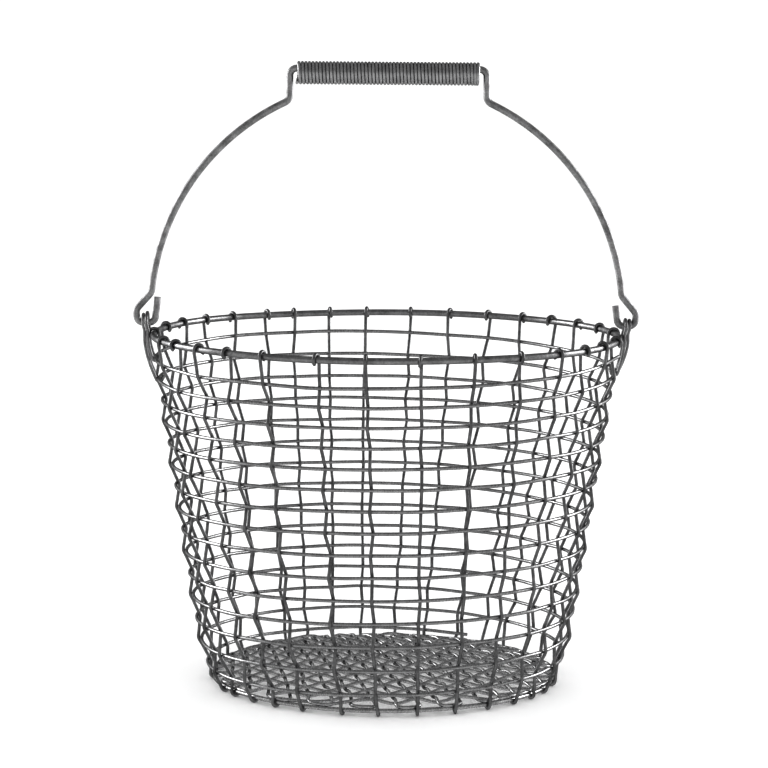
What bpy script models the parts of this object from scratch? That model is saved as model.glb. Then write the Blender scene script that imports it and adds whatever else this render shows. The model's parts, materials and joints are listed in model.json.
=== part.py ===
"""Onion basket: a hand-woven steel wire bucket with a swinging bail and a wire-wound grip.

Metres, +Z up. The origin is on the floor under the basket's middle, X runs from ear to
ear, and the front of the basket faces -Y.
"""
import math

import bpy
import numpy as np
from mathutils import Matrix, Vector

# Gap kept between wires that touch on the real basket
CLEARANCE = 0.0003

# Rim, the thick hoop at the mouth
RIM_RADIUS = 0.160
RIM_WIRE = 0.0045
RIM_HEIGHT = 0.241
RIM_STEP = math.radians(6)

# Stakes, the upright wires: one under the left ear, none under the right ear. The others'
# places are shares of the half turn round the front, and of the one round the back
FRONT_STAKE_SHARES = (0.075, 0.14, 0.195, 0.25, 0.315, 0.385, 0.455, 0.525, 0.59, 0.665, 0.725, 0.78, 0.84, 0.885)
BACK_STAKE_SHARES = (0.08, 0.14, 0.2, 0.255, 0.315, 0.36, 0.415, 0.47, 0.535, 0.595, 0.655, 0.715, 0.77, 0.83,
                     0.89, 0.955)
STAKE_WIRE = 0.0022
RIM_WRAP_TURN = math.radians(240)
RIM_WRAP_STEPS = 4
FOOT_HOOK_STEP = math.radians(50)
FOOT_HOOK_STEPS = 3

# Wall, a cone that is twisted on its way down and tucked in to the base ring at its foot
WALL_OUTSET = 0.001
WALL_SPREAD = 0.006
WALL_TUCK = 0.0042
WALL_TUCK_HEIGHT = 0.046
WALL_TWIST = math.radians(3)

# Weft, one long wire woven round the stakes in a bowed spiral, levelled at its two ends
WEFT_WIRE = 0.0019
WEFT_TURNS = 14.85
WEFT_START_DROP = 0.0085
WEFT_END_RISE = 0.0073
WEFT_BOW = 0.0024
START_TILT = -0.0064
MIDDLE_TILT = 0.0015
END_TILT = -0.0023
WEFT_STUB = 0.010
WEFT_STEP = math.radians(12)

# Base ring and the woven base that lies on it
BASE_RING_RADIUS = 0.118
BASE_RING_WIRE = 0.003
BASE_WIRE = 0.002
BASE_MARGIN = 0.001
BASE_SPACING = 0.0155
BASE_BEND_RADIUS = 0.0025
BASE_BEND_STEP = math.radians(90)
BASE_EDGE = 0.010
BASE_TURNED = math.radians(15)

# Ears, two wire staples at each end of the mouth that hold the bail. Slack is an arch's
# room above the bail, play the room beside it
EAR_WIRE = 0.0022
EAR_GAP = 0.0005
EAR_LEAN = 0.0011
EAR_SIDE_PLAY = 0.00175
EAR_WIDENING = 0.0026
LEFT_INNER_SLACK = 0.0036
LEFT_OUTER_SLACK = 0.0023
RIGHT_INNER_SLACK = 0.0013
RIGHT_OUTER_SLACK = 0.0009
EAR_ARCH_STEPS = 4
EAR_HOOK_STEP = math.radians(60)
EAR_HOOK_STEPS = 3

# Bail, the swinging handle rod. Heights are above its pivot
BAIL_WIRE = 0.0043
EYE_PLAY = 0.001
TAIL_PLAY = 0.0019
TAIL_LEAN = 0.0024
EYE_BEND_RADIUS = 0.0045
TAIL_HEIGHT = 0.0171
CHEEK_FLARE = 0.0011
CHEEK_HEIGHT = 0.009
CHEEK_BEND_RADIUS = 0.005
NECK_OUTSET = 0.0018
NECK_HEIGHT = 0.0209
NECK_BEND_RADIUS = 0.008
BAIL_ARC_FROM = math.radians(5)
BAIL_ARC_TO = math.radians(64)
BAIL_ARC_STEPS = 8
SHOULDER_RUN = 0.0051
SHOULDER_BEND_RADIUS = 0.006
RISER_HEIGHT = 0.0218
CORNER_BEND_RADIUS = 0.005
BAIL_BEND_STEP = math.radians(50)

# Grip, a close winding that hangs loose on the bail's top rod
GRIP_LENGTH = 0.127
GRIP_DIAMETER = 0.016
GRIP_WIRE = 0.0019
GRIP_TURN_GAP = 0.0005
GRIP_POINTS = 8
GRIP_END_PLAY = 0.00165
GRIP_GAP_AT_LEAST = 0.0004

# A four-sided wire is a square of the round wire's area, turned flat side out
SQUARE_CORNER_SHARE = math.sqrt(math.pi / 2)
SQUARE_FLAT_SHARE = math.sqrt(math.pi) / 2
SQUARE_TILT = math.radians(45)

# Bevel resolutions
FOUR_SIDES = 0
SIX_SIDES = 1
EIGHT_SIDES = 2

# Steel colours
BRIGHT = (0.46, 0.46, 0.47)
GREY = (0.27, 0.27, 0.28)
DARK = (0.20, 0.20, 0.21)

# Half thicknesses
RIM_HALF = RIM_WIRE / 2
RING_HALF = BASE_RING_WIRE / 2
BAIL_HALF = BAIL_WIRE / 2
EAR_HALF = EAR_WIRE / 2
GRIP_HALF = GRIP_WIRE / 2
STAKE_FLAT = SQUARE_FLAT_SHARE * STAKE_WIRE / 2
WEFT_FLAT = SQUARE_FLAT_SHARE * WEFT_WIRE / 2
WEFT_CORNER = SQUARE_CORNER_SHARE * WEFT_WIRE / 2
BASE_FLAT = SQUARE_FLAT_SHARE * BASE_WIRE / 2

# Sizes and heights of the basket that follow from the ones above
RIM_WRAP_RADIUS = (RIM_HALF + CLEARANCE + STAKE_FLAT) / math.cos(RIM_WRAP_TURN / RIM_WRAP_STEPS / 2)
FOOT_HOOK_RADIUS = (RING_HALF + CLEARANCE + STAKE_FLAT) / math.cos(FOOT_HOOK_STEP / 2)
BASE_RING_HEIGHT = (FOOT_HOOK_RADIUS + STAKE_FLAT) * math.cos(FOOT_HOOK_STEP / 2)
BASE_REACH = BASE_RING_RADIUS - BASE_MARGIN
WALL_TOP_RADIUS = RIM_RADIUS + WALL_OUTSET
WALL_FOOT_RADIUS = BASE_RING_RADIUS + WALL_SPREAD
STAKE_SPAN = math.hypot(RIM_RADIUS - BASE_RING_RADIUS * math.cos(WALL_TWIST), BASE_RING_RADIUS * math.sin(WALL_TWIST))
STAKE_ASIDE = RIM_RADIUS * BASE_RING_RADIUS * math.sin(WALL_TWIST) / STAKE_SPAN
WEFT_FALL = RIM_HEIGHT - WEFT_START_DROP - WEFT_END_RISE
WEFT_PITCH = WEFT_FALL / WEFT_TURNS
PIVOT_HEIGHT = RIM_HEIGHT + RIM_WRAP_RADIUS + STAKE_FLAT + CLEARANCE + BAIL_HALF
EAR_LEG_RADIUS = RIM_RADIUS + RIM_HALF + CLEARANCE + EAR_HALF
EAR_SPACING = EAR_WIRE + EAR_GAP
OUTER_EAR_HALF_WIDTH = BAIL_HALF + EAR_HALF + EAR_SIDE_PLAY
INNER_EAR_HALF_WIDTH = OUTER_EAR_HALF_WIDTH + EAR_WIDENING
EAR_HOOK_RADIUS = (WEFT_CORNER + CLEARANCE + EAR_HALF) / math.cos(EAR_HOOK_STEP / 2)

# Sizes of the grip and the bail that follow
GRIP_TURNS = int((GRIP_LENGTH - GRIP_WIRE) / (GRIP_WIRE + GRIP_TURN_GAP))
GRIP_PITCH = (GRIP_LENGTH - GRIP_WIRE) / GRIP_TURNS
GRIP_RADIUS = GRIP_DIAMETER / 2 - GRIP_HALF
GRIP_BORE = GRIP_RADIUS * math.cos(math.pi / GRIP_POINTS) - GRIP_HALF
GRIP_DROP = GRIP_BORE - CLEARANCE - BAIL_HALF
BAIL_RISER = GRIP_LENGTH / 2 + GRIP_END_PLAY + BAIL_HALF
TAIL_FOOT_RADIUS = EAR_LEG_RADIUS + EAR_LEAN - EAR_HALF - TAIL_PLAY - BAIL_HALF
TAIL_TOP_RADIUS = TAIL_FOOT_RADIUS - TAIL_LEAN
EYE_OUTER_RADIUS = EAR_LEG_RADIUS + EAR_SPACING + EAR_LEAN + EAR_HALF + EYE_PLAY + BAIL_HALF
CHEEK_RADIUS = EYE_OUTER_RADIUS + CHEEK_FLARE
NECK_RADIUS = RIM_RADIUS + NECK_OUTSET
BAIL_ARC_RUN = NECK_RADIUS - BAIL_RISER - SHOULDER_RUN
BAIL_ARC_RADIUS = BAIL_ARC_RUN / (math.cos(BAIL_ARC_FROM) - math.cos(BAIL_ARC_TO))
BAIL_ARC_RISE = BAIL_ARC_RADIUS * (math.sin(BAIL_ARC_TO) - math.sin(BAIL_ARC_FROM))
SHOULDER_HEIGHT = NECK_HEIGHT + BAIL_ARC_RISE + SHOULDER_RUN / math.tan(BAIL_ARC_TO)
BAIL_TOP_HEIGHT = SHOULDER_HEIGHT + RISER_HEIGHT


def clear_scene():
    """Remove whatever the open scene holds."""
    for thing in list(bpy.data.objects):
        bpy.data.objects.remove(thing, do_unlink=True)


def steel(name, colour, roughness):
    """A bare steel material of one sub-part."""
    material = bpy.data.materials.new(name)
    material.use_nodes = True
    shader = material.node_tree.nodes["Principled BSDF"]
    shader.inputs["Base Color"].default_value = (*colour, 1.0)
    shader.inputs["Metallic"].default_value = 1.0
    shader.inputs["Roughness"].default_value = roughness
    return material


def wire(name, points, thickness, sides, material, closed=False, level=False, axis=None):
    """A bent wire through points. A level wire keeps its flats up and down all along."""
    square = sides == FOUR_SIDES
    curve = bpy.data.curves.new(name, "CURVE")
    curve.dimensions = "3D"
    curve.twist_mode = "Z_UP" if level else "MINIMUM"
    curve.bevel_depth = thickness / 2 * (SQUARE_CORNER_SHARE if square else 1)
    curve.bevel_resolution = sides
    curve.use_fill_caps = True
    curve.materials.append(material)
    spline = curve.splines.new("POLY")
    spline.points.add(len(points) - 1)
    spline.use_cyclic_u = closed
    origin = axis.matrix_world.translation if axis else Vector()
    for place, point in zip(spline.points, points):
        place.co = (*(Vector(point) - origin), 1)
        place.tilt = SQUARE_TILT if square else 0
    thing = bpy.data.objects.new(name, curve)
    thing.parent = axis
    basket.objects.link(thing)


def axis_empty(name, height, parent=None):
    """An empty on a joint's axis above the origin, which carries what moves about it."""
    empty = bpy.data.objects.new(name, None)
    empty.parent = parent
    empty.location.z = height - (parent.location.z if parent else 0)
    basket.objects.link(empty)
    bpy.context.view_layer.update()
    return empty


def around(turn, radius, height):
    """A point some part of a turn from the right ear, counted by way of the front."""
    angle = -2 * math.pi * turn
    return Vector((radius * math.cos(angle), radius * math.sin(angle), height))


def on_circle(centre, radius, angle):
    """A point of a circle in a plane of radius and height."""
    return (centre[0] + radius * math.cos(angle), centre[1] + radius * math.sin(angle))


def tangent_angle(centre, radius, point, side):
    """Where a wire from a point meets a circle, on its right (1) or left (-1) as seen from it."""
    away_x = point[0] - centre[0]
    away_z = point[1] - centre[1]
    return math.atan2(away_z, away_x) + side * math.acos(radius / math.hypot(away_x, away_z))


def eased(corners, radii, step):
    """A path through corners. Each inner corner is rounded by its radius, or kept if that is 0."""
    path = [Vector(corners[0])]
    for before, corner, after, radius in zip(corners, corners[1:], corners[2:], radii):
        if not radius:
            path.append(Vector(corner))
            continue
        corner = Vector(corner)
        back = (Vector(before) - corner).normalized()
        onward = (Vector(after) - corner).normalized()
        turn = math.pi - back.angle(onward)
        reach = radius * math.tan(turn / 2)
        middle = corner + (back + onward).normalized() * (radius / math.cos(turn / 2))
        start = (corner + back * reach - middle).normalized()
        end = (corner + onward * reach - middle).normalized()
        steps = math.ceil(turn / step)
        path += [middle + start.slerp(end, i / steps) * radius for i in range(steps + 1)]
    path.append(Vector(corners[-1]))
    return path


def filled(places, step):
    """Turns with more put between those that lie further than a step apart."""
    more = []
    for here, following in zip(places, places[1:]):
        steps = max(1, round((following - here) * 2 * math.pi / step))
        more += [here + (following - here) * i / steps for i in range(steps)]
    return more + [places[-1]]


def hoop_points(places, step, radius, height):
    """Corners of a closed hoop: at the given turns, and between those that lie far apart."""
    corners = filled(places + [places[0] + 1], step)[:-1]
    return [around(corner, radius, height) for corner in corners]


def weave_offset(half_bent, half_straight, pitch, lean):
    """How far a zigzag wire's middle passes from the middle of the leaning wires it goes round."""
    offset = half_bent + half_straight + CLEARANCE
    for _ in range(4):
        slope = 2 * offset / pitch + lean
        offset = half_straight * (1 + slope) + half_bent * math.hypot(1, slope) + CLEARANCE
    return offset


def stake_turns():
    """The stakes' places at the rim, in turns from the right ear by way of the front."""
    front = [share / 2 for share in FRONT_STAKE_SHARES]
    back = [(1 + share) / 2 for share in BACK_STAKE_SHARES]
    return front + [1 / 2] + back


def twisted(turn, radius):
    """Where a stake gets to at a radius. It lies in an upright plane that passes beside the axis."""
    askew = math.asin(STAKE_ASIDE / radius) - math.asin(STAKE_ASIDE / RIM_RADIUS)
    return turn - askew / (2 * math.pi)


def along_stake(radius):
    """Place along a stake's plane, from where it passes the axis, at a radius."""
    return math.sqrt(radius ** 2 - STAKE_ASIDE ** 2)


def wall_radius(height):
    """Radius of the tapered wall in which the weft lies, with its foot tucked in."""
    above_ring = height - BASE_RING_HEIGHT
    taper = (WALL_TOP_RADIUS - WALL_FOOT_RADIUS) / (RIM_HEIGHT - BASE_RING_HEIGHT)
    cone = WALL_FOOT_RADIUS + taper * above_ring
    return cone - WALL_TUCK * max(0, 1 - above_ring / WALL_TUCK_HEIGHT) ** 2


def weft_height(turn):
    """Height of the weft: a fall, a bow in it and a tilt that changes down the wall."""
    from_middle = 2 * turn / WEFT_TURNS - 1
    bow = WEFT_BOW * (1 - from_middle ** 2)
    ends_tilt = (START_TILT + END_TILT) / 2 + (END_TILT - START_TILT) / 2 * from_middle
    tilt = MIDDLE_TILT * (1 - from_middle ** 2) + ends_tilt * from_middle ** 2
    return RIM_HEIGHT - WEFT_START_DROP - turn * WEFT_PITCH + bow + tilt * math.sin(2 * math.pi * turn)


def weft_point(turn):
    """The weft's middle at a turn of its spiral."""
    height = weft_height(turn)
    return around(turn, wall_radius(height), height)


def crossings(turn):
    """The weft's turns at which it meets the stake that starts at a turn, from the top down."""
    places = []
    for row in range(math.ceil(WEFT_TURNS - turn)):
        place = row + turn
        for _ in range(3):
            place = row + twisted(turn, wall_radius(weft_height(place)))
        places.append(place)
    return places


def weft_corners():
    """Turns at which the weft has a corner: at each stake, and between stakes far apart."""
    places = sorted(place for turn in stake_turns() for place in crossings(turn))
    return filled(places, WEFT_STEP)


def rim_ring():
    """The thick hoop, with a corner at each stake."""
    points = hoop_points(stake_turns(), RIM_STEP, RIM_RADIUS, RIM_HEIGHT)
    wire("rim_ring", points, RIM_WIRE, SIX_SIDES, steel("rim_steel", BRIGHT, 0.32), closed=True)


def stake(index, turn):
    """One upright: wrapped over the rim, woven past each row and hooked under the base ring."""
    first_side = 1 if index % 2 else -1
    heights = [weft_height(place) for place in crossings(turn)]
    woven = []
    for row, height in enumerate(heights):
        pitch = min(abs(height - other) for other in heights[max(0, row - 1):row + 2] if other != height)
        lean = (wall_radius(height + pitch / 2) - wall_radius(height - pitch / 2)) / pitch
        askew = math.asin(STAKE_ASIDE / wall_radius(height))
        half_across = STAKE_FLAT * (math.cos(askew) + math.sin(askew))
        offset = weave_offset(half_across, WEFT_FLAT, pitch, lean) / math.cos(askew)
        side = first_side if row % 2 == 0 else -first_side
        woven.append((along_stake(wall_radius(height)) + side * offset, height))
    rim = (along_stake(RIM_RADIUS), RIM_HEIGHT)
    start = tangent_angle(rim, RIM_WRAP_RADIUS, woven[0], first_side)
    step = first_side * RIM_WRAP_TURN / RIM_WRAP_STEPS
    wrap = [on_circle(rim, RIM_WRAP_RADIUS, start + step * i) for i in range(RIM_WRAP_STEPS, -1, -1)]
    ring = (along_stake(BASE_RING_RADIUS), BASE_RING_HEIGHT)
    hook_start = (FOOT_HOOK_STEP * FOOT_HOOK_STEPS - math.pi) / 2
    hook = [on_circle(ring, FOOT_HOOK_RADIUS, hook_start - FOOT_HOOK_STEP * i)
            for i in range(FOOT_HOOK_STEPS + 1)]
    points = []
    for along, height in wrap + woven + hook:
        radius = math.hypot(along, STAKE_ASIDE)
        points.append(around(twisted(turn, radius), radius, height))
    name = "stake_%02d" % (index + 1)
    wire(name, points, STAKE_WIRE, FOUR_SIDES, steel(name + "_steel", GREY, 0.42))


def weft_wire():
    """The long woven wire, with a short free end past its first and last stakes."""
    corners = weft_corners()
    start_stub = WEFT_STUB / (2 * math.pi * wall_radius(weft_height(corners[0])))
    end_stub = WEFT_STUB / (2 * math.pi * wall_radius(weft_height(corners[-1])))
    places = [corners[0] - start_stub] + corners + [corners[-1] + end_stub]
    points = [weft_point(place) for place in places]
    wire("weft_wire", points, WEFT_WIRE, FOUR_SIDES, steel("weft_steel", GREY, 0.4), level=True)


def base_ring():
    """The hoop that the stakes hook under, with a corner at each stake."""
    feet = [twisted(turn, BASE_RING_RADIUS) for turn in stake_turns()]
    points = hoop_points(feet, WEFT_STEP, BASE_RING_RADIUS, BASE_RING_HEIGHT)
    wire("base_ring", points, BASE_RING_WIRE, SIX_SIDES, steel("base_ring_steel", GREY, 0.42), closed=True)


def base_runs():
    """Places of the base's parallel runs, and half the length of each."""
    count = int(2 * BASE_REACH / BASE_SPACING)
    places = [(i - (count - 1) / 2) * BASE_SPACING for i in range(count)]
    return [(place, math.sqrt(BASE_REACH ** 2 - place ** 2)) for place in places]


def base_wire(name, corners, radii):
    """One of the base's two wires, bent to and fro."""
    turned = Matrix.Rotation(BASE_TURNED, 3, "Z")
    points = [turned @ point for point in eased(corners, radii, BASE_BEND_STEP)]
    wire(name, points, BASE_WIRE, FOUR_SIDES, steel(name + "_steel", GREY, 0.42), level=True)


def base_weave():
    """The runs across are crimped over and under the straight runs along."""
    low = BASE_RING_HEIGHT + RING_HALF + CLEARANCE + BASE_FLAT
    offset = weave_offset(BASE_FLAT, BASE_FLAT, BASE_SPACING, 0)
    middle = low + offset
    runs = base_runs()
    across = []
    along = []
    for i, (place, half) in enumerate(runs):
        met = [j for j, (other, _) in enumerate(runs) if abs(other) < half - BASE_EDGE]
        run = [((-half, place, low), BASE_BEND_RADIUS)]
        for j in met:
            over = (i + j) % 2 == 0 and j not in (met[0], met[-1])
            run.append(((runs[j][0], place, middle + offset if over else low), 0))
        run.append(((half, place, low), BASE_BEND_RADIUS))
        across += run if i % 2 == 0 else run[::-1]
        ends = [(place, -half, middle), (place, half, middle)]
        along += ends if i % 2 == 0 else ends[::-1]
    corners, radii = zip(*across)
    base_wire("base_wire_across", corners, radii[1:-1])
    base_wire("base_wire_along", along, [BASE_BEND_RADIUS] * (len(along) - 2))


def weft_beside(held_turn, y):
    """Where the weft, near one of its turns, passes a place along Y."""
    for here, following in zip(weft_corners(), weft_corners()[1:]):
        start = weft_point(here)
        end = weft_point(following)
        if abs(here - held_turn) < 1 / 8 and (start.y - y) * (end.y - y) <= 0:
            return start.lerp(end, (y - start.y) / (end.y - start.y))


def ear_leg(side, half_width, leg_radius, held_turn):
    """One leg of an ear, from the hook under the weft up past the rim to the arch's foot."""
    place = weft_beside(held_turn, side * half_width)
    centre = (abs(place.x), place.z)
    knee = (leg_radius, RIM_HEIGHT - RIM_HALF)
    start = tangent_angle(centre, EAR_HOOK_RADIUS, knee, -1)
    hook = [on_circle(centre, EAR_HOOK_RADIUS, start - EAR_HOOK_STEP * i)
            for i in range(EAR_HOOK_STEPS, -1, -1)]
    shaft = hook + [knee, (leg_radius, RIM_HEIGHT + RIM_HALF)]
    return [(x, side * half_width, z) for x, z in shaft]


def ear(name, facing, layer, half_width, slack, held_turn):
    """A staple whose arch holds the bail's eye and whose two legs hook under the weft."""
    leg_radius = EAR_LEG_RADIUS + layer * EAR_SPACING
    front = ear_leg(-1, half_width, leg_radius, held_turn)
    back = ear_leg(1, half_width, leg_radius, held_turn)
    arch = []
    for i in range(EAR_ARCH_STEPS + 1):
        angle = math.pi * i / EAR_ARCH_STEPS
        rise = (BAIL_HALF + slack + EAR_HALF) * math.sin(angle)
        arch.append((leg_radius + EAR_LEAN, -half_width * math.cos(angle), PIVOT_HEIGHT + rise))
    points = [(facing * x, y, z) for x, y, z in front + arch + back[::-1]]
    wire(name, points, EAR_WIRE, SIX_SIDES, steel(name + "_steel", DARK, 0.45))


def bail(axis):
    """The handle rod: an eye at each end, bowed sides, shoulders, risers and a straight top."""
    corners = [
        (TAIL_TOP_RADIUS, TAIL_HEIGHT),
        (TAIL_FOOT_RADIUS, 0),
        (EYE_OUTER_RADIUS, 0),
        (CHEEK_RADIUS, CHEEK_HEIGHT),
        (NECK_RADIUS, NECK_HEIGHT),
    ]
    radii = [EYE_BEND_RADIUS, EYE_BEND_RADIUS, CHEEK_BEND_RADIUS, NECK_BEND_RADIUS]
    out_x, out_z = on_circle((0, 0), BAIL_ARC_RADIUS, BAIL_ARC_FROM)
    centre = (NECK_RADIUS - out_x, NECK_HEIGHT - out_z)
    for i in range(1, BAIL_ARC_STEPS + 1):
        angle = BAIL_ARC_FROM + (BAIL_ARC_TO - BAIL_ARC_FROM) * i / BAIL_ARC_STEPS
        corners.append(on_circle(centre, BAIL_ARC_RADIUS, angle))
        radii.append(0)
    corners += [(BAIL_RISER, SHOULDER_HEIGHT), (BAIL_RISER, BAIL_TOP_HEIGHT), (0, BAIL_TOP_HEIGHT)]
    radii += [SHOULDER_BEND_RADIUS, CORNER_BEND_RADIUS]
    placed = [(x, 0, PIVOT_HEIGHT + z) for x, z in corners]
    right = eased(placed, radii, BAIL_BEND_STEP)[:-1]
    left = [Vector((-point.x, point.y, point.z)) for point in right]
    wire("bail", left + right[::-1], BAIL_WIRE, EIGHT_SIDES, steel("bail_steel", DARK, 0.38), axis=axis)


def gap_to_itself(points, thickness, apart):
    """Least gap between stretches of a winding that lie at least some points apart."""
    places = np.array([tuple(a.lerp(b, share)) for a, b in zip(points, points[1:])
                       for share in (0, 0.25, 0.5, 0.75)])
    skip = 4 * apart
    least = min(np.linalg.norm(places[i + skip:] - places[i], axis=1).min() for i in range(len(places) - skip))
    return least - thickness


def grip_winding(axis):
    """The wound grip: one wire in a close helix, its ends straight for one wire thickness."""
    middle = axis.matrix_world.translation
    first_x = middle.x - GRIP_PITCH * GRIP_TURNS / 2
    points = []
    for i in range(GRIP_TURNS * GRIP_POINTS + 1):
        angle = 2 * math.pi * i / GRIP_POINTS
        y = middle.y + GRIP_RADIUS * math.sin(angle)
        z = middle.z - GRIP_RADIUS * math.cos(angle)
        points.append(Vector((first_x + GRIP_PITCH * i / GRIP_POINTS, y, z)))
    lead = Vector((0, GRIP_WIRE, 0))
    points = [points[0] - lead] + points + [points[-1] + lead]
    gap = gap_to_itself(points, GRIP_WIRE, GRIP_POINTS // 2)
    print("grip winding: least gap to itself %.6f m" % gap)
    assert gap > GRIP_GAP_AT_LEAST
    wire("grip_winding", points, GRIP_WIRE, SIX_SIDES, steel("grip_steel", GREY, 0.4), axis=axis)


clear_scene()
basket = bpy.data.collections.new("onion_basket")
bpy.context.scene.collection.children.link(basket)

rim_ring()
for stake_index, stake_turn in enumerate(stake_turns()):
    stake(stake_index, stake_turn)
weft_wire()
base_ring()
base_weave()

# The left ears hook under the first and second rows, the right ears under the first
ear("ear_left_inner", -1, 0, INNER_EAR_HALF_WIDTH, LEFT_INNER_SLACK, 1 / 2)
ear("ear_left_outer", -1, 1, OUTER_EAR_HALF_WIDTH, LEFT_OUTER_SLACK, 1 + 1 / 2)
ear("ear_right_inner", 1, 0, INNER_EAR_HALF_WIDTH, RIGHT_INNER_SLACK, 1)
ear("ear_right_outer", 1, 1, OUTER_EAR_HALF_WIDTH, RIGHT_OUTER_SLACK, 1)

bail_axis = axis_empty("bail_axis", PIVOT_HEIGHT)
bail(bail_axis)
grip_winding(axis_empty("grip_axis", PIVOT_HEIGHT + BAIL_TOP_HEIGHT - GRIP_DROP, bail_axis))
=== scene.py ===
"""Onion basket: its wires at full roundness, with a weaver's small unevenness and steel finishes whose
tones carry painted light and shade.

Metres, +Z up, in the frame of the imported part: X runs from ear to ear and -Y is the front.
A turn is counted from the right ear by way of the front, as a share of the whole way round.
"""
import cmath
import json
import math
import random

import bpy
import numpy as np
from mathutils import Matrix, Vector


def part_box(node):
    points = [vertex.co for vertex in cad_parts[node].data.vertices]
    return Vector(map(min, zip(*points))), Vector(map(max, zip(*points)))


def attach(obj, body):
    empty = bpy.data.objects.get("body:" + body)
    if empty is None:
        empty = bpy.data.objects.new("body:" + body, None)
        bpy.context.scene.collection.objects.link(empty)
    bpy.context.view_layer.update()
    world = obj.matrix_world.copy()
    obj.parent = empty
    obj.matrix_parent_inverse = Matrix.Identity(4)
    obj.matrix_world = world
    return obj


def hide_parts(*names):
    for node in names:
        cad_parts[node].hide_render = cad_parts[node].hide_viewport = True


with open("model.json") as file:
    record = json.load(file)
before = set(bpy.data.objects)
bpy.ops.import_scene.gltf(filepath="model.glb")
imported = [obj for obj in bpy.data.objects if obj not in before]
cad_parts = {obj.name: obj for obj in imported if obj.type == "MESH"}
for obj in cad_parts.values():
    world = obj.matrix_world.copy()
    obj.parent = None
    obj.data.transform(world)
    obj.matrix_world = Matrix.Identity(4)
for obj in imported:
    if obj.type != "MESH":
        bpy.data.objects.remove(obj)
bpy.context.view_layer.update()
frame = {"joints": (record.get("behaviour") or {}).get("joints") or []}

# Camera, at the photograph's angle, with its lens and its sensor in millimetres
CAMERA_PLACE = (-0.0013, -2.100, 0.4628)
CAMERA_TILT = math.radians(83.055)
CAMERA_ROLL = math.radians(0.468)
CAMERA_LENS = 143.5
SENSOR_WIDTH = 36

# Rim
RIM_RADIUS = 0.160
RIM_WIRE = 0.0045

# Waver of the rim and the base ring, whose waves go a number of times round, each with its phase
HOOP_WAVER = 0.0002
ROUND_WAVES = ((7, 1), (3, 0))
LIFT_WAVES = 5
LIFT_PHASE = 2
HOOP_POINTS = 240

# Stakes: their places as shares of the half turn round the front, and of the one round the back
FRONT_STAKE_SHARES = (0.075, 0.14, 0.195, 0.25, 0.315, 0.385, 0.455, 0.525, 0.59, 0.665, 0.725, 0.78,
                      0.84, 0.885)
BACK_STAKE_SHARES = (0.08, 0.14, 0.2, 0.255, 0.315, 0.36, 0.415, 0.47, 0.535, 0.595, 0.655, 0.715,
                     0.77, 0.83, 0.89, 0.955)
STAKE_WIRE = 0.0023
STRAIGHT_FROM = 0.3
RIM_WRAP_TURN = math.radians(240)
RIM_WRAP_STEPS = 18
FOOT_HOOK_TURN = math.radians(150)
FOOT_HOOK_STEPS = 10
CROSSING_ROUNDS = 3

# Unevenness of the stakes, which grows from the rim down and is larger at the end of the wrap
STAKE_SWAY = 0.0007
STAKE_LEAN = 0.0008
LEAN_HALF_WAVES = 1.5
SWAY_GROWTH = 5
WRAP_END_SWAY = 3

# Wall, a cone that is twisted on its way down and tucked in to the base ring at its foot
WALL_OUTSET = 0.001
WALL_SPREAD = 0.006
WALL_TUCK = 0.0045
WALL_TUCK_HEIGHT = 0.046
WALL_TWIST = math.radians(3)

# Weft
WEFT_WIRE = 0.0024
WEFT_TURNS = 14.85
WEFT_START_DROP = 0.0085
WEFT_END_RISE = 0.0073
WEFT_BOW = 0.0024
START_TILT = -0.0064
MIDDLE_TILT = 0.0015
END_TILT = -0.0023
WEFT_STUB = 0.010
WEFT_SWAY = 0.00035
WEFT_GIVE_SHARE = 0.05

# Base, whose grid is turned and then bent by a square term
BASE_RING_RADIUS = 0.118
BASE_RING_WIRE = 0.003
BASE_WIRE = 0.0023
BASE_MARGIN = 0.0005
BASE_SPACING = 0.0122
BASE_RUNS = 14
RUN_STEPS = 200
BASE_EDGE = 0.007
BASE_TURNED = math.radians(14)
BASE_BEND = complex(1.2, 1.5)
BASE_SWAY = 0.0010
ACROSS_CRIMP_SHARE = 0.65

# Ears, with the turns of the weft that their legs hook under
EAR_WIRE = 0.0022
EAR_LEG_RADIUS = 0.16365
EAR_SPACING = 0.0027
EAR_LEAN = 0.0011
INNER_EAR_HALF_WIDTH = 0.0076
OUTER_EAR_HALF_WIDTH = 0.005
LEFT_INNER_ARCH = 0.0069
LEFT_OUTER_ARCH = 0.0056
RIGHT_INNER_ARCH = 0.0046
RIGHT_OUTER_ARCH = 0.0042
EAR_ARCH_STEPS = 12
EAR_HOOK_TURN = math.radians(180)
EAR_HOOK_STEPS = 10
LEFT_INNER_HELD = 0.5
LEFT_OUTER_HELD = 1.5
RIGHT_HELD = 1
SEARCH_TURN = 0.25
SEARCH_STEPS = 200

# Bail, with heights above its pivot
BAIL_WIRE = 0.0047
TAIL_TOP_RADIUS = 0.1576
TAIL_FOOT_RADIUS = 0.1596
EYE_INSET = 0.0006
EYE_BEND_RADIUS = 0.0045
LEFT_TAIL_HEIGHT = 0.0176
RIGHT_TAIL_HEIGHT = 0.0140
LEFT_CHEEK_RADIUS = 0.1724
RIGHT_CHEEK_RADIUS = 0.1718
CHEEK_HEIGHT = 0.009
CHEEK_BEND_RADIUS = 0.005
NECK_RADIUS = 0.1618
NECK_HEIGHT = 0.0209
NECK_BEND_RADIUS = 0.008
BAIL_ARC_RADIUS = 0.16026
BAIL_ARC_FROM = math.radians(5)
BAIL_ARC_TO = math.radians(64)
BAIL_ARC_STEPS = 30
SHOULDER_BEND_RADIUS = 0.006
CORNER_BEND_RADIUS = 0.005
BAIL_TOP_HEIGHT = 0.17527
BAIL_RISER = 0.0673

# Grip
GRIP_LENGTH = 0.127
GRIP_DIAMETER = 0.01598
GRIP_WIRE = 0.0023
GRIP_TURNS = 52
GRIP_POINTS = 24
LOOSE_TURNS = 3
LOOSE_TILT = 0.0016
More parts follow.
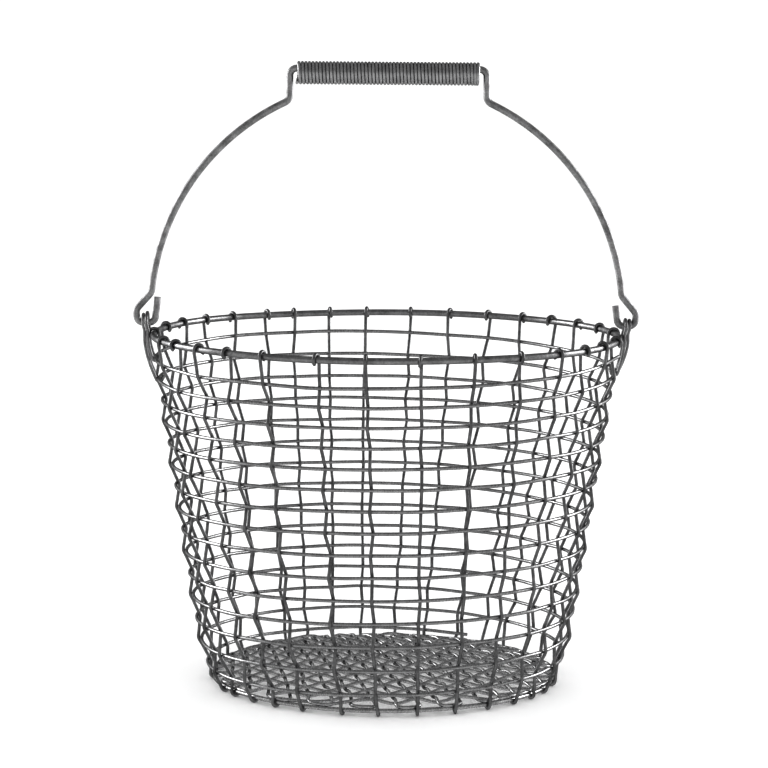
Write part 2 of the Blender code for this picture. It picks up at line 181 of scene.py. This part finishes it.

# Finishes with painted light and shade: darkest and lightest colour, range of roughness, tint of the
# edges, strength of the pits. The steel's colours are painted darker on the uprights and lighter on the
# weft, the base and the grip, for how the light falls on each part
FINISHES_AND_PAINTED_LIGHT = {
    "upright_steel": ((0.20, 0.20, 0.203), (0.50, 0.50, 0.505), (0.28, 0.42), 0.15, 0.25),
    "rim_steel": ((0.34, 0.34, 0.345), (0.72, 0.72, 0.725), (0.26, 0.42), 0.2, 0.25),
    "weft_steel": ((0.48, 0.48, 0.485), (0.82, 0.82, 0.825), (0.22, 0.36), 0.15, 0.25),
    "base_steel": ((0.50, 0.50, 0.505), (0.97, 0.97, 0.975), (0.18, 0.32), 0.1, 0.25),
    "bail_steel": ((0.38, 0.38, 0.383), (0.92, 0.92, 0.925), (0.4, 0.58), 0.3, 0.5),
    "ear_steel": ((0.30, 0.30, 0.303), (0.66, 0.66, 0.665), (0.34, 0.5), 0.2, 0.25),
    "grip_steel": ((0.66, 0.66, 0.665), (0.97, 0.97, 0.975), (0.24, 0.36), 0.2, 0.25),
}
BROAD_GRAIN = {"Scale": 150, "Detail": 4}
FINE_GRAIN = {"Scale": 900, "Detail": 6, "Roughness": 0.65}
FINE_SHARE = 0.5
MOTTLE_RANGE = (0.36, 0.64)
POLISH_RANGE = (0.3, 0.7)
PIT_DEPTH = 0.0002

# Surround: a wall in front from one turn to the other, a foot and a head, and a brow at the back
SURROUND_RADIUS = 3.2
SURROUND_FOOT = 0.0004
SURROUND_HEIGHT = 3
SURROUND_BACK_FOOT = 0.7
SURROUND_BROW = 1.9
SURROUND_FROM = 0.01
SURROUND_TO = 0.49
SURROUND_STEPS = 24
SURROUND_LOW_GLOW = 0.52
SURROUND_HIGH_GLOW = 0.26
SURROUND_GLOW_TOP = 1.5

# Studio
WORLD_STRENGTH = 1.1
VIEW_GAMMA = 0.7
FLOOR_SIZE = 40
FLOOR_TONE = 0.97
FLOOR_ROUGHNESS = 0.8
FLOOR_GLOSS = 0.1
LIGHT_PLACES = {"left_light": (-2.3, 1.2, 0.9), "right_light": (2.3, 1.2, 0.9)}
LIGHT_AIM = (0, 0, 0.2)
LIGHT_SIZE = 1.4
LIGHT_POWER = 22

# Fineness of the drawn wires, with Blender's bevel resolutions for two numbers of sides
BEND_STEP = math.radians(12)
WIRE_GAP = 0.0022
TWELVE_SIDES = 4
EIGHT_SIDES = 2

# Seed of the small unevenness
SEED = 11

# Half thicknesses
RIM_HALF = RIM_WIRE / 2
STAKE_HALF = STAKE_WIRE / 2
WEFT_HALF = WEFT_WIRE / 2
RING_HALF = BASE_RING_WIRE / 2
BASE_HALF = BASE_WIRE / 2
EAR_HALF = EAR_WIRE / 2
WEAVE_OFFSET = STAKE_HALF + WEFT_HALF

# Heights, three of which the frame gives
JOINT_HEIGHTS = {joint["name"]: joint["pos_m"][2] for joint in frame["joints"]}
PIVOT_HEIGHT = JOINT_HEIGHTS["bail_swing"]
GRIP_HEIGHT = JOINT_HEIGHTS["grip_spin"]
RIM_HEIGHT = sum(corner.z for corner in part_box("rim_ring")) / 2
BASE_RING_HEIGHT = RING_HALF + STAKE_WIRE
BASE_END_HEIGHT = BASE_RING_HEIGHT + RING_HALF + BASE_HALF
BASE_MIDDLE_HEIGHT = BASE_END_HEIGHT + BASE_HALF
WEFT_PITCH = (RIM_HEIGHT - WEFT_START_DROP - WEFT_END_RISE) / WEFT_TURNS

# Reach of the wall and the base, and how far beside the axis each stake's upright plane passes
WALL_TOP_RADIUS = RIM_RADIUS + WALL_OUTSET
WALL_FOOT_RADIUS = BASE_RING_RADIUS + WALL_SPREAD
BASE_REACH = BASE_RING_RADIUS - BASE_MARGIN
FOOT_ALONG = BASE_RING_RADIUS * math.cos(WALL_TWIST)
FOOT_ASIDE = BASE_RING_RADIUS * math.sin(WALL_TWIST)
STAKE_ASIDE = RIM_RADIUS * FOOT_ASIDE / math.hypot(RIM_RADIUS - FOOT_ALONG, FOOT_ASIDE)

chance = random.Random(SEED)


def add_camera():
    """The camera, at the photograph's angle."""
    camera = bpy.data.objects.new("camera", bpy.data.cameras.new("camera"))
    camera.data.sensor_width = SENSOR_WIDTH
    camera.data.lens = CAMERA_LENS
    camera.location = CAMERA_PLACE
    camera.rotation_mode = "ZYX"
    camera.rotation_euler = (CAMERA_TILT, 0, CAMERA_ROLL)
    bpy.context.scene.collection.objects.link(camera)
    bpy.context.scene.camera = camera


def around(turn, radius, height):
    """A point at a turn, a radius and a height."""
    angle = -2 * math.pi * turn
    return Vector((radius * math.cos(angle), radius * math.sin(angle), height))


def on_circle(centre, radius, angle):
    """A point of a circle in a plane of radius and height."""
    return (centre[0] + radius * math.cos(angle), centre[1] + radius * math.sin(angle))


def tangent_angle(centre, radius, point, side):
    """Where a wire from a point meets a circle, on its right (1) or left (-1) as seen from it."""
    away_x = point[0] - centre[0]
    away_z = point[1] - centre[1]
    return math.atan2(away_z, away_x) + side * math.acos(radius / math.hypot(away_x, away_z))


def eased(corners, radii):
    """A path through corners, each inner one rounded by its radius or kept if that is 0."""
    path = [Vector(corners[0])]
    for before, corner, after, radius in zip(corners, corners[1:], corners[2:], radii):
        corner = Vector(corner)
        if not radius:
            path.append(corner)
            continue
        back = (Vector(before) - corner).normalized()
        onward = (Vector(after) - corner).normalized()
        turn = math.pi - back.angle(onward)
        reach = radius * math.tan(turn / 2)
        middle = corner + (back + onward).normalized() * (radius / math.cos(turn / 2))
        start = (corner + back * reach - middle).normalized()
        end = (corner + onward * reach - middle).normalized()
        steps = math.ceil(turn / BEND_STEP)
        path += [middle + start.slerp(end, i / steps) * radius for i in range(steps + 1)]
    path.append(Vector(corners[-1]))
    return path


def smooth(points, gap):
    """Points a gap apart at most on a smooth cubic curve through the given ones."""
    given = np.array([tuple(point) for point in points])
    ahead = np.diff(given, axis=0)
    spans = np.linalg.norm(ahead, axis=1)
    slopes = ahead / spans[:, None]
    before, after = spans[:-1, None], spans[1:, None]
    inner = (slopes[1:] * before + slopes[:-1] * after) / (before + after)
    tangents = np.vstack([slopes[:1], inner, slopes[-1:]])
    path = []
    for i, span in enumerate(spans):
        steps = math.ceil(span / gap)
        for j in range(steps):
            share = j / steps
            rest = 1 - share
            path.append((1 + 2 * share) * rest ** 2 * given[i] + share * rest ** 2 * span * tangents[i]
                        + share * share * (3 - 2 * share) * given[i + 1]
                        - share * share * rest * span * tangents[i + 1])
    path.append(given[-1])
    return path


def wire(name, points, thickness, slot, body, nodes, closed=False, resolution=TWELVE_SIDES):
    """A round wire in a slot's finish, whose colours hold painted light and shade, that rides on a body
    and stands for nodes of the frame.
    """
    curve = bpy.data.curves.new(name, "CURVE")
    curve.dimensions = "3D"
    curve.twist_mode = "MINIMUM"
    curve.bevel_depth = thickness / 2
    curve.bevel_resolution = resolution
    curve.use_fill_caps = True
    curve.materials.append(finishes_and_painted_light[slot])
    spline = curve.splines.new("POLY")
    spline.points.add(len(points) - 1)
    spline.use_cyclic_u = closed
    for place, point in zip(spline.points, points):
        place.co = (*point, 1)
    piece = bpy.data.objects.new(name, curve)
    bpy.context.scene.collection.objects.link(piece)
    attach(piece, body)
    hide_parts(*nodes)


def set_inputs(node, values):
    """Set some of a node's inputs, by their names."""
    for name, value in values.items():
        node.inputs[name].default_value = value


def new_material(name, values):
    """A material and its shader, with some of the shader's inputs set."""
    material = bpy.data.materials.new(name)
    material.use_nodes = True
    shader = material.node_tree.nodes["Principled BSDF"]
    set_inputs(shader, values)
    return material, shader


def new_node(material, kind, values):
    """A node of a material, with some of its inputs set."""
    node = material.node_tree.nodes.new(kind)
    set_inputs(node, values)
    return node


def steel(name, dark, light, rough, edge, bump):
    """Drawn steel wire: mottled colour between a dark and a light tone that carry painted light and shade,
    uneven roughness, fine pitting and darker edges.
    """
    material, shader = new_material(name, {"Metallic": 1.0, "Specular Tint": (edge, edge, edge, 1)})
    place = new_node(material, "ShaderNodeTexCoord", {})
    broad = new_node(material, "ShaderNodeTexNoise", BROAD_GRAIN)
    fine = new_node(material, "ShaderNodeTexNoise", FINE_GRAIN)
    both = new_node(material, "ShaderNodeMix", {"Factor": FINE_SHARE})
    mottle = new_node(material, "ShaderNodeValToRGB", {})
    for element, position, colour in zip(mottle.color_ramp.elements, MOTTLE_RANGE, (dark, light)):
        element.position = position
        element.color = (*colour, 1)
    polish = new_node(material, "ShaderNodeMapRange", {
        "From Min": POLISH_RANGE[0],
        "From Max": POLISH_RANGE[1],
        "To Min": rough[0],
        "To Max": rough[1],
    })
    pits = new_node(material, "ShaderNodeBump", {"Strength": bump, "Distance": PIT_DEPTH})
    link = material.node_tree.links.new
    link(place.outputs["Object"], broad.inputs["Vector"])
    link(place.outputs["Object"], fine.inputs["Vector"])
    link(broad.outputs["Fac"], both.inputs["A"])
    link(fine.outputs["Fac"], both.inputs["B"])
    link(both.outputs["Result"], mottle.inputs["Fac"])
    link(mottle.outputs["Color"], shader.inputs["Base Color"])
    link(fine.outputs["Fac"], polish.inputs["Value"])
    link(polish.outputs["Result"], shader.inputs["Roughness"])
    link(fine.outputs["Fac"], pits.inputs["Height"])
    link(pits.outputs["Normal"], shader.inputs["Normal"])
    return material


def stake_turns():
    """The stakes' turns at the rim. One stake stands at the left ear."""
    front = [share / 2 for share in FRONT_STAKE_SHARES]
    back = [(1 + share) / 2 for share in BACK_STAKE_SHARES]
    return front + [1 / 2] + back


def twisted(turn, radius):
    """Where a stake gets to at a radius. It lies in an upright plane that passes beside the axis."""
    askew = math.asin(STAKE_ASIDE / radius) - math.asin(STAKE_ASIDE / RIM_RADIUS)
    return turn - askew / (2 * math.pi)


def wall_radius(height):
    """Radius of the tapered wall in which the weft lies, with its foot tucked in."""
    above_ring = height - BASE_RING_HEIGHT
    taper = (WALL_TOP_RADIUS - WALL_FOOT_RADIUS) / (RIM_HEIGHT - BASE_RING_HEIGHT)
    cone = WALL_FOOT_RADIUS + taper * above_ring
    return cone - WALL_TUCK * max(0, 1 - above_ring / WALL_TUCK_HEIGHT) ** 2


def weft_height(turn):
    """Height of the weft: a steady fall, a bow and a tilt that changes down the wall."""
    down = 2 * turn / WEFT_TURNS - 1
    bow = WEFT_BOW * (1 - down ** 2)
    slant = (END_TILT - START_TILT) / 2 * down
    tilt = MIDDLE_TILT + slant + ((END_TILT + START_TILT) / 2 - MIDDLE_TILT) * down ** 2
    fall = WEFT_START_DROP + turn * WEFT_PITCH
    return RIM_HEIGHT - fall + bow + tilt * math.sin(2 * math.pi * turn)


def crossing(row, turn):
    """The turn of the weft at which a row meets the stake that starts at a turn, found in a few rounds."""
    place = row + turn
    for _ in range(CROSSING_ROUNDS):
        place = row + twisted(turn, wall_radius(weft_height(place)))
    return place


def crossings():
    """Each stake's crossings with the weft, from the top, and the side of the weft it passes on."""
    found = []
    for index, turn in enumerate(stake_turns()):
        first_side = 1 if index % 2 else -1
        rows = []
        for row in range(math.ceil(WEFT_TURNS - turn)):
            place = crossing(row, turn)
            if place <= WEFT_TURNS:
                rows.append((place, first_side if row % 2 == 0 else -first_side))
        found.append((turn, first_side, rows))
    return found


def on_stake(turn, radius, height, sway):
    """A point of the stake that starts at a turn, moved sideways along the wall by a length."""
    return around(twisted(turn, radius) - sway / radius / (2 * math.pi), radius, height)


def rim_wrap(turn, first_side, first_crossing, tail):
    """A stake's wrap over the rim, from its end to where it leaves for its first crossing."""
    rim = (RIM_RADIUS, RIM_HEIGHT)
    wrap_radius = RIM_HALF + STAKE_HALF
    first_height = weft_height(first_crossing)
    first = (wall_radius(first_height) + first_side * WEAVE_OFFSET, first_height)
    start = tangent_angle(rim, wrap_radius, first, first_side)
    wrap = []
    for i in range(RIM_WRAP_STEPS, -1, -1):
        angle = start + first_side * RIM_WRAP_TURN * i / RIM_WRAP_STEPS
        radius, height = on_circle(rim, wrap_radius, angle)
        wrap.append(on_stake(turn, radius, height, tail * WRAP_END_SWAY * i / RIM_WRAP_STEPS))
    return wrap


def foot_hook(turn, tail):
    """A stake's hook under the base ring, from outside the ring to its end."""
    hook = []
    for i in range(FOOT_HOOK_STEPS + 1):
        angle = (FOOT_HOOK_TURN - math.pi) / 2 - FOOT_HOOK_TURN * i / FOOT_HOOK_STEPS
        radius, height = on_circle((BASE_RING_RADIUS, BASE_RING_HEIGHT), RING_HALF + STAKE_HALF, angle)
        hook.append(on_stake(turn, radius, height, tail * i / FOOT_HOOK_STEPS))
    return hook


def with_straights(points):
    """Points with two more on each chord, so that a smooth path keeps straight between its bends."""
    path = [points[0]]
    for here, following in zip(points, points[1:]):
        path += [here.lerp(following, STRAIGHT_FROM), here.lerp(following, 1 - STRAIGHT_FROM), following]
    return path


def stakes():
    """The uprights: wrapped over the rim, woven past each row and hooked under the base ring."""
    for number, (turn, first_side, rows) in enumerate(crossings(), 1):
        phase = chance.uniform(0, 2 * math.pi)
        lean = chance.uniform(-1, 1) * STAKE_LEAN
        tail = chance.uniform(-1, 1) * STAKE_SWAY
        woven = []
        for place, side in rows:
            height = weft_height(place)
            radius = wall_radius(height) + side * WEAVE_OFFSET * (1 - WEFT_GIVE_SHARE)
            share = (RIM_HEIGHT - height) / RIM_HEIGHT
            sway = lean * math.sin(math.pi * share * LEAN_HALF_WAVES + phase)
            sway += chance.uniform(-1, 1) * STAKE_SWAY
            woven.append(on_stake(turn, radius, height, sway * min(1, SWAY_GROWTH * share)))
        wrap = rim_wrap(turn, first_side, rows[0][0], tail)
        hook = foot_hook(turn, tail)
        points = wrap[:-1] + with_straights(wrap[-1:] + woven + hook[:1]) + hook[1:]
        wire("upright_%02d" % number, smooth(points, WIRE_GAP), STAKE_WIRE, "upright_steel", "basket",
             ["stake_%02d" % number])


def weft():
    """The long woven wire, which gives a little to each stake that it passes, with a stub at each end."""
    sides = sorted(pair for _, _, rows in crossings() for pair in rows)
    points = []
    for place, side in sides:
        height = weft_height(place) + chance.uniform(-1, 1) * WEFT_SWAY
        radius = wall_radius(height) - side * WEAVE_OFFSET * WEFT_GIVE_SHARE
        points.append(around(place, radius, height))
    start = points[0] + (points[0] - points[1]).normalized() * WEFT_STUB
    end = points[-1] + (points[-1] - points[-2]).normalized() * WEFT_STUB
    wire("woven_weft", smooth([start] + points + [end], 2 * WIRE_GAP), WEFT_WIRE, "weft_steel", "basket",
         ["weft_wire"], resolution=EIGHT_SIDES)


def hoop(name, radius, height, thickness, slot, node):
    """A closed hoop that isn't perfectly round or flat."""
    points = []
    for i in range(HOOP_POINTS):
        angle = 2 * math.pi * (i / HOOP_POINTS)
        out = sum(HOOP_WAVER * math.sin(angle * waves + phase) for waves, phase in ROUND_WAVES)
        lift = HOOP_WAVER * math.sin(angle * LIFT_WAVES + LIFT_PHASE)
        points.append(around(i / HOOP_POINTS, radius + out / len(ROUND_WAVES), height + lift))
    wire(name, points, thickness, slot, "basket", [node], closed=True)


def on_grid(place, other, swap):
    """A place of the base's straight grid, on a run that goes across or, swapped, along."""
    return complex(place, other) if swap else complex(other, place)


def warped(grid_place, height):
    """A point of the base's grid, turned and bent as the weaver's hands left it."""
    place = grid_place * cmath.rect(1, BASE_TURNED)
    place += BASE_BEND * place * place / 2
    return Vector((place.real, place.imag, height))


def run_ends(place, swap):
    """Where a run of the base's grid comes in over the ring and goes out over it, if it does."""
    inside = []
    for i in range(-RUN_STEPS, RUN_STEPS + 1):
        other = 2 * BASE_REACH * i / RUN_STEPS
        if warped(on_grid(place, other, swap), 0).length < BASE_REACH:
            inside.append(other)
    long_enough = len(inside) > 1 and inside[-1] - inside[0] > BASE_SPACING
    return (inside[0], inside[-1]) if long_enough else None


def base_run(index, ends, swap, crimp, places, shifts):
    """One run of the base's weave, from ring to ring, crimped over and under those that it crosses."""
    run = []
    for i, other in enumerate(places):
        shift = shifts[index][i] if swap else shifts[i][index]
        lift = crimp if ((index + i) % 2 == 0) != swap else -crimp
        point = warped(on_grid(places[index], other, swap) + shift, BASE_MIDDLE_HEIGHT + lift)
        if ends[0] < other < ends[1] and point.xy.length < BASE_REACH - BASE_EDGE:
            run.append(point)
    start, end = [warped(on_grid(places[index], other, swap), BASE_END_HEIGHT) for other in ends]
    return [start] + run + [end]


def base_weave():
    """A wire across and a wire along, each bent to and fro in runs over the base ring."""
    places = [i * BASE_SPACING for i in range(-BASE_RUNS, BASE_RUNS + 1)]
    shifts = [[complex(chance.uniform(-1, 1) * BASE_SWAY, chance.uniform(-1, 1) * BASE_SWAY)
               for _ in places] for _ in places]
    for name, node, crimp_share, swap in (("base_weft", "base_wire_across", ACROSS_CRIMP_SHARE, False),
                                          ("base_warp", "base_wire_along", 1 - ACROSS_CRIMP_SHARE, True)):
        path = []
        for index, place in enumerate(places):
            ends = run_ends(place, swap)
            if ends:
                run = base_run(index, ends, swap, BASE_WIRE * crimp_share, places, shifts)
                path += run if index % 2 == 0 else run[::-1]
        wire(name, smooth(path, 2 * WIRE_GAP), BASE_WIRE, "base_steel", "basket", [node],
             resolution=EIGHT_SIDES)


def weft_beside(held_turn, y):
    """Where the weft, near one of its turns, passes a place along Y."""
    turns = [held_turn + (i - SEARCH_STEPS / 2) / SEARCH_STEPS * SEARCH_TURN
             for i in range(SEARCH_STEPS + 1)]
    points = [around(turn, wall_radius(weft_height(turn)), weft_height(turn)) for turn in turns]
    return min(points, key=lambda point: abs(point.y - y))


def ear(name, node, facing, layer, half_width, arch_height, held_turn):
    """A staple whose arch holds the bail's eye and whose two legs hook under the weft."""
    leg_radius = EAR_LEG_RADIUS + layer * EAR_SPACING
    hook_radius = WEFT_HALF + EAR_HALF
    knee = (leg_radius, RIM_HEIGHT - RIM_HALF)
    top = (leg_radius, RIM_HEIGHT + RIM_HALF)
    legs = []
    for side in (-1, 1):
        held = weft_beside(held_turn, side * half_width)
        centre = (abs(held.x), held.z)
        start = tangent_angle(centre, hook_radius, knee, -1)
        hook = [on_circle(centre, hook_radius, start - EAR_HOOK_TURN * i / EAR_HOOK_STEPS)
                for i in range(EAR_HOOK_STEPS, -1, -1)]
        legs.append([(x, side * half_width, z) for x, z in hook + [knee, top]])
    arch = []
    for i in range(EAR_ARCH_STEPS + 1):
        angle = math.pi * i / EAR_ARCH_STEPS
        rise = arch_height * math.sin(angle)
        arch.append((leg_radius + EAR_LEAN, -half_width * math.cos(angle), PIVOT_HEIGHT + rise))
    points = [(facing * x, y, z) for x, y, z in legs[0] + arch + legs[1][::-1]]
    wire(name, smooth(points, WIRE_GAP / 2), EAR_WIRE, "ear_steel", "basket", [node])


def bail_side(tail_height, cheek_radius):
    """One side of the handle rod as places across and heights above the pivot, from its tail up."""
    corners = [
        (TAIL_TOP_RADIUS, tail_height),
        (TAIL_FOOT_RADIUS, 0),
        (cheek_radius - EYE_INSET, 0),
        (cheek_radius, CHEEK_HEIGHT),
        (NECK_RADIUS, NECK_HEIGHT),
    ]
    radii = [EYE_BEND_RADIUS, EYE_BEND_RADIUS, CHEEK_BEND_RADIUS, NECK_BEND_RADIUS]
    out_x, out_z = on_circle((0, 0), BAIL_ARC_RADIUS, BAIL_ARC_FROM)
    centre = (NECK_RADIUS - out_x, NECK_HEIGHT - out_z)
    for i in range(1, BAIL_ARC_STEPS + 1):
        angle = BAIL_ARC_FROM + (BAIL_ARC_TO - BAIL_ARC_FROM) * i / BAIL_ARC_STEPS
        corners.append(on_circle(centre, BAIL_ARC_RADIUS, angle))
        radii.append(0)
    arc_end_x, arc_end_z = corners[-1]
    shoulder = arc_end_z + (arc_end_x - BAIL_RISER) / math.tan(BAIL_ARC_TO)
    corners += [(BAIL_RISER, shoulder), (BAIL_RISER, BAIL_TOP_HEIGHT), (0, BAIL_TOP_HEIGHT)]
    radii += [SHOULDER_BEND_RADIUS, CORNER_BEND_RADIUS]
    return eased([(x, 0, z) for x, z in corners], radii)[:-1]


def bail():
    """The handle rod: an eye at each end, bowed sides, shoulders, risers and a straight top."""
    left = [Vector((-point.x, 0, PIVOT_HEIGHT + point.z))
            for point in bail_side(LEFT_TAIL_HEIGHT, LEFT_CHEEK_RADIUS)]
    right = [Vector((point.x, 0, PIVOT_HEIGHT + point.z))
             for point in bail_side(RIGHT_TAIL_HEIGHT, RIGHT_CHEEK_RADIUS)]
    wire("bail_rod", left + right[::-1], BAIL_WIRE, "bail_steel", "bail", ["bail"])


def grip():
    """The wound grip, one wire in a close helix whose last turns are a little loose."""
    radius = (GRIP_DIAMETER - GRIP_WIRE) / 2
    pitch = (GRIP_LENGTH - GRIP_WIRE) / GRIP_TURNS
    points = []
    for i in range(GRIP_TURNS * GRIP_POINTS + 1):
        angle = 2 * math.pi * i / GRIP_POINTS
        x = pitch * (i / GRIP_POINTS - GRIP_TURNS / 2)
        loose = max(0, 1 - (GRIP_TURNS - i / GRIP_POINTS) / LOOSE_TURNS) ** 2
        x -= loose * LOOSE_TILT * (1 + math.cos(angle)) / 2
        points.append(Vector((x, radius * math.sin(angle), GRIP_HEIGHT - radius * math.cos(angle))))
    wire("grip_coil", points, GRIP_WIRE, "grip_steel", "grip", ["grip_winding"], resolution=EIGHT_SIDES)


def surround_mesh():
    """The surround's wall, brow, foot and head."""
    front = [SURROUND_FROM + (SURROUND_TO - SURROUND_FROM) * i / SURROUND_STEPS
             for i in range(SURROUND_STEPS + 1)]
    back = [SURROUND_TO + (1 + SURROUND_FROM - SURROUND_TO) * i / SURROUND_STEPS
            for i in range(1, SURROUND_STEPS)]
    foot = [around(turn, SURROUND_RADIUS, SURROUND_FOOT) for turn in front]
    foot += [around(turn, SURROUND_BACK_FOOT, SURROUND_FOOT) for turn in back]
    head = [around(turn, SURROUND_RADIUS, SURROUND_HEIGHT) for turn in front + back + front[:1]]
    brow = [around(turn, SURROUND_RADIUS, SURROUND_BROW) for turn in front[-1:] + back + front[:1]]
    head_start = len(foot)
    back_start = head_start + SURROUND_STEPS
    brow_start = head_start + len(head)
    faces = [(i, i + 1, head_start + i + 1, head_start + i) for i in range(SURROUND_STEPS)]
    faces += [(back_start + i, back_start + i + 1, brow_start + i + 1, brow_start + i)
              for i in range(SURROUND_STEPS)]
    faces += [tuple(range(head_start)), tuple(range(2 * head_start - 1, head_start - 1, -1))]
    mesh = bpy.data.meshes.new("surround")
    mesh.from_pydata(foot + head + brow, [], faces)
    return mesh


def surround():
    """A dim shell in front, beneath and above, seen only as a reflection in the wires."""
    material, shader = new_material("surround", {
        "Base Color": (0, 0, 0, 1),
        "Specular IOR Level": 0,
        "Emission Color": (1, 1, 1, 1),
    })
    place = new_node(material, "ShaderNodeTexCoord", {})
    parts = new_node(material, "ShaderNodeSeparateXYZ", {})
    glow = new_node(material, "ShaderNodeMapRange", {
        "From Max": SURROUND_GLOW_TOP,
        "To Min": SURROUND_LOW_GLOW,
        "To Max": SURROUND_HIGH_GLOW,
    })
    link = material.node_tree.links.new
    link(place.outputs["Object"], parts.inputs["Vector"])
    link(parts.outputs["Z"], glow.inputs["Value"])
    link(glow.outputs["Result"], shader.inputs["Emission Strength"])
    wall = bpy.data.objects.new("surround", surround_mesh())
    wall.data.materials.append(material)
    wall.visible_camera = False
    wall.visible_diffuse = False
    wall.visible_transmission = False
    wall.visible_shadow = False
    bpy.context.scene.collection.objects.link(wall)


def pale_floor():
    """A plain pale floor."""
    bpy.ops.mesh.primitive_plane_add(size=FLOOR_SIZE, location=(0, 0, 0))
    floor = bpy.context.object
    floor.name = "floor"
    material, _ = new_material("floor", {
        "Base Color": (FLOOR_TONE, FLOOR_TONE, FLOOR_TONE, 1),
        "Roughness": FLOOR_ROUGHNESS,
        "Specular IOR Level": FLOOR_GLOSS,
    })
    floor.data.materials.append(material)


def white_world():
    """An even white light from everywhere, which is the background too."""
    world = bpy.data.worlds.new("studio")
    world.use_nodes = True
    world.cycles.sampling_method = "NONE"
    set_inputs(world.node_tree.nodes["Background"], {"Color": (1, 1, 1, 1), "Strength": WORLD_STRENGTH})
    bpy.context.scene.world = world


def soft_lights():
    """A soft light behind the basket on each side."""
    for name, place in LIGHT_PLACES.items():
        light = bpy.data.objects.new(name, bpy.data.lights.new(name, "AREA"))
        light.data.size = LIGHT_SIZE
        light.data.energy = LIGHT_POWER
        light.location = place
        light.visible_camera = False
        aim = Vector(LIGHT_AIM) - Vector(place)
        light.rotation_euler = aim.to_track_quat("-Z", "Y").to_euler()
        bpy.context.scene.collection.objects.link(light)


add_camera()
# Each finish's colours hold painted light and shade for its part
finishes_and_painted_light = {slot: steel(slot + "_finish_and_painted_light", *looks) for slot, looks in FINISHES_AND_PAINTED_LIGHT.items()}

hoop("rim_hoop", RIM_RADIUS, RIM_HEIGHT, RIM_WIRE, "rim_steel", "rim_ring")
stakes()
weft()
hoop("base_hoop", BASE_RING_RADIUS, BASE_RING_HEIGHT, BASE_RING_WIRE, "base_steel", "base_ring")
base_weave()

ear("left_ear_a", "ear_left_inner", -1, 0, INNER_EAR_HALF_WIDTH, LEFT_INNER_ARCH, LEFT_INNER_HELD)
ear("left_ear_b", "ear_left_outer", -1, 1, OUTER_EAR_HALF_WIDTH, LEFT_OUTER_ARCH, LEFT_OUTER_HELD)
ear("right_ear_a", "ear_right_inner", 1, 0, INNER_EAR_HALF_WIDTH, RIGHT_INNER_ARCH, RIGHT_HELD)
ear("right_ear_b", "ear_right_outer", 1, 1, OUTER_EAR_HALF_WIDTH, RIGHT_OUTER_ARCH, RIGHT_HELD)
bail()
grip()

bpy.context.scene.view_settings.view_transform = "Standard"
bpy.context.scene.view_settings.gamma = VIEW_GAMMA
pale_floor()
surround()
white_world()
soft_lights()
